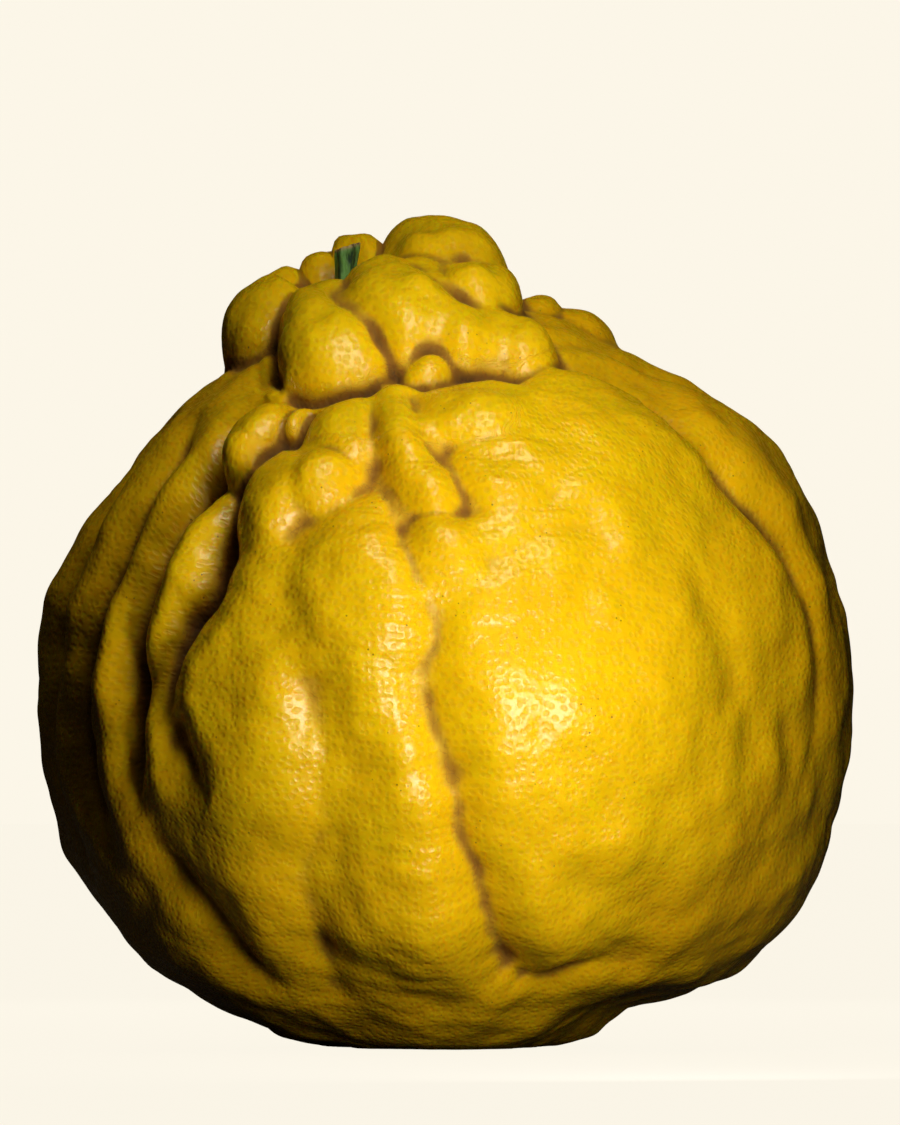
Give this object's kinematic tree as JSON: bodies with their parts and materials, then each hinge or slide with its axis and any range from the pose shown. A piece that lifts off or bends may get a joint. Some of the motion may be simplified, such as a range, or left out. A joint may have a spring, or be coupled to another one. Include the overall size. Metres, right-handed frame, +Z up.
{
  "type": "lion yuzu",
  "caption": "Large knobbly yellow citrus fruit standing on its base, with deep creases, a crown of knobs, a calyx button and a cut stem stub.",
  "frame": {"origin": "middle of the flat spot under the fruit that it stands on", "axes": "+Z up from the resting flat to the crown, -Y towards the front with the deep middle crease, +X to the right seen from the front"},
  "size_m": [0.1799, 0.1736, 0.1828],
  "materials": {
    "peel": "waxy citrus peel with fine oil-gland pits",
    "calyx": "dry olive-green button",
    "stem": "satin green bark with a pale cut face"
  },
  "bodies": {
    "root": {"fruit": "peel", "calyx": "calyx", "stem_stub": "stem"}
  },
  "joints": []
}
